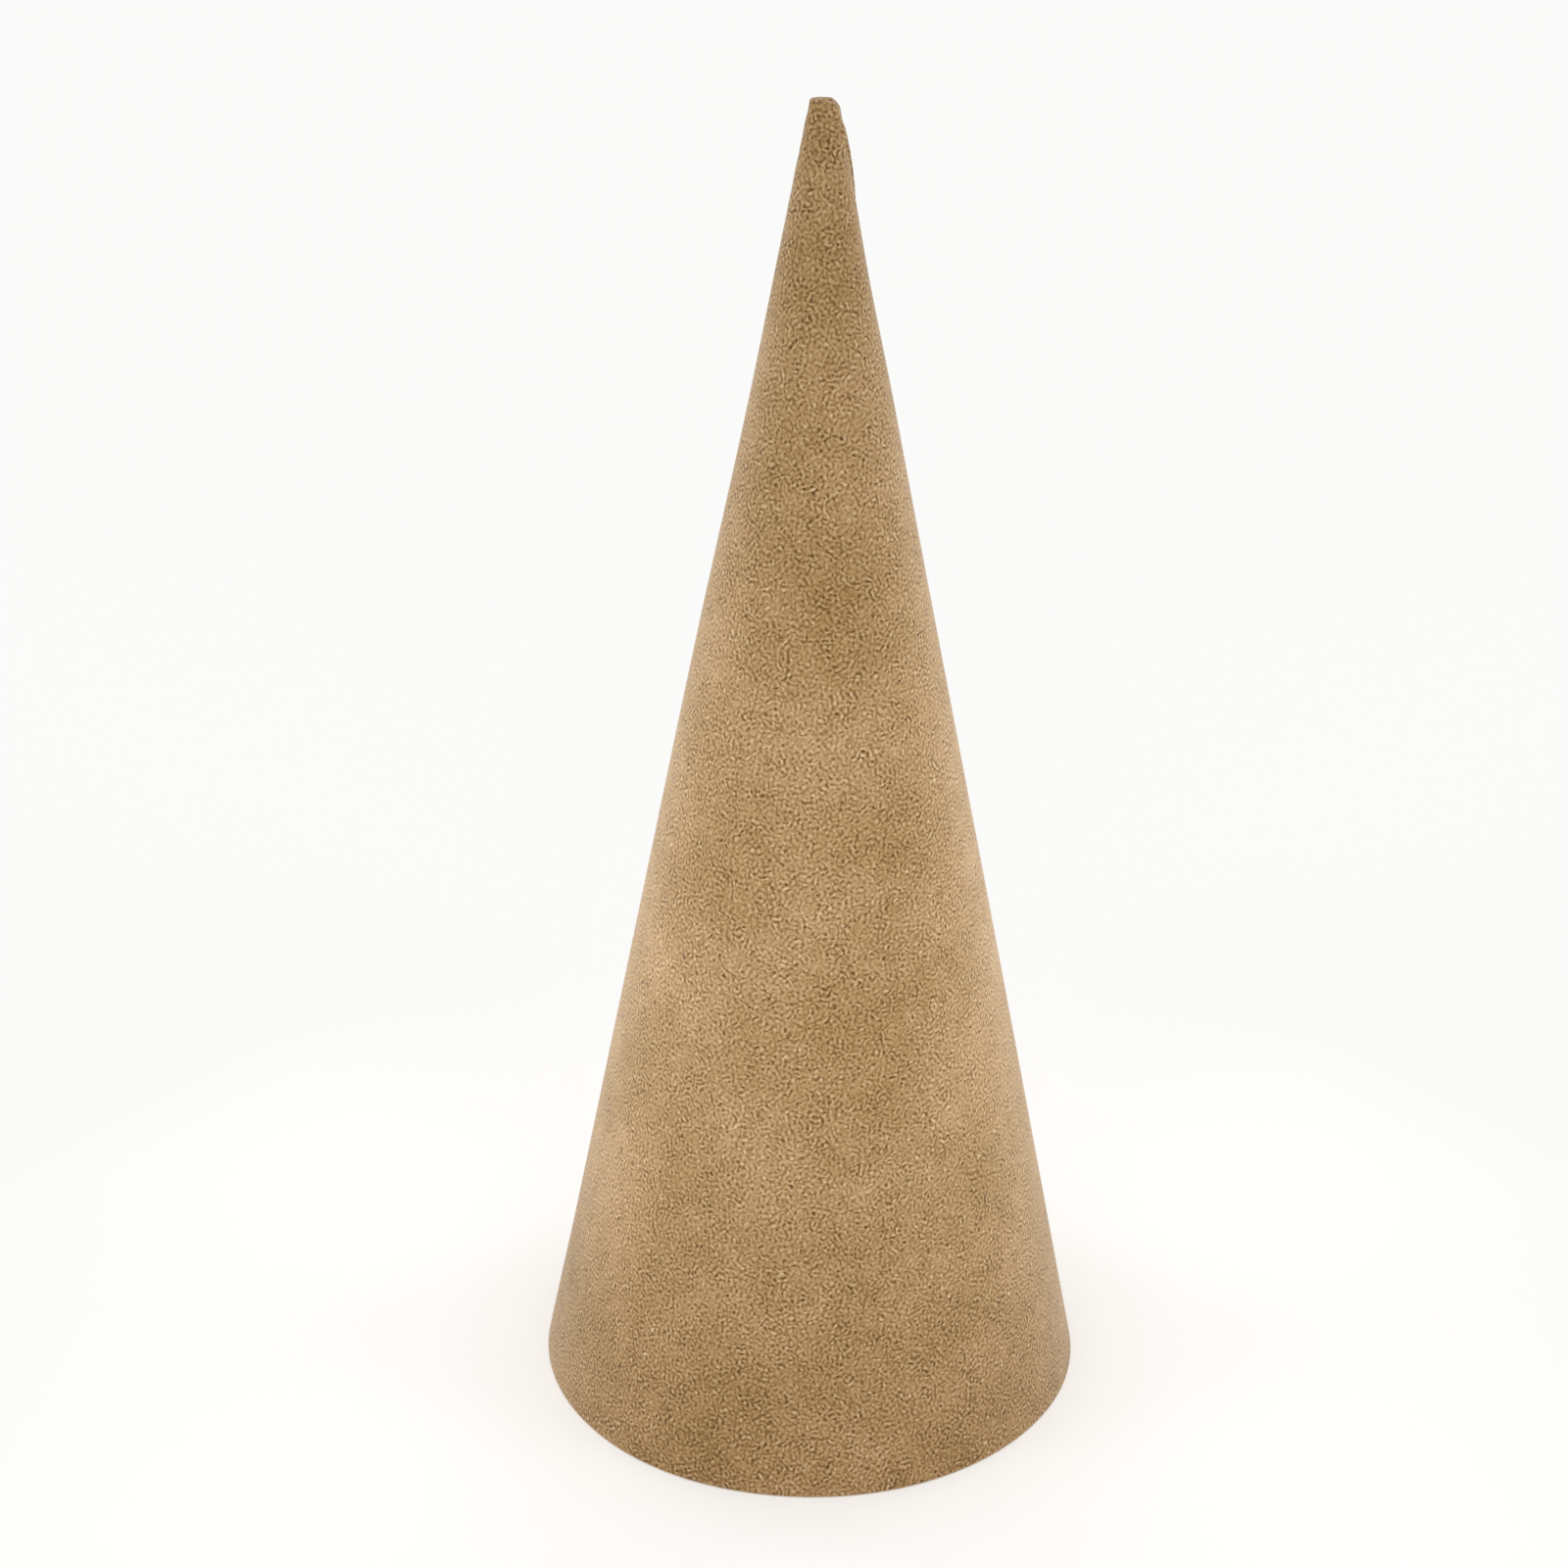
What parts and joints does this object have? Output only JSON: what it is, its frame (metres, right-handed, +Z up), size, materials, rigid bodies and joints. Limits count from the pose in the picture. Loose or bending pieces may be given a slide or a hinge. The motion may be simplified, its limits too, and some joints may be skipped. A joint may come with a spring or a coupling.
{
  "type": "rolled kraft paper cone",
  "caption": "Hollow cone wound from one sheet of brown kraft board, with a lapped seam, a blunt closed tip and an open flat-cut base that it stands on.",
  "frame": {"origin": "centre of the open wide end, on the surface that the cone stands on", "axes": "+Z up the cone's axis to its tip; -Y faces the viewer of the picture, and the lapped seam is on the +Y side"},
  "size_m": [0.0758, 0.0763, 0.178],
  "materials": {
    "kraft_board": "uncoated brown kraft linerboard, matte, with fine fibres and dark specks"
  },
  "bodies": {
    "root": {"cone_shell": "kraft_board"}
  },
  "joints": []
}
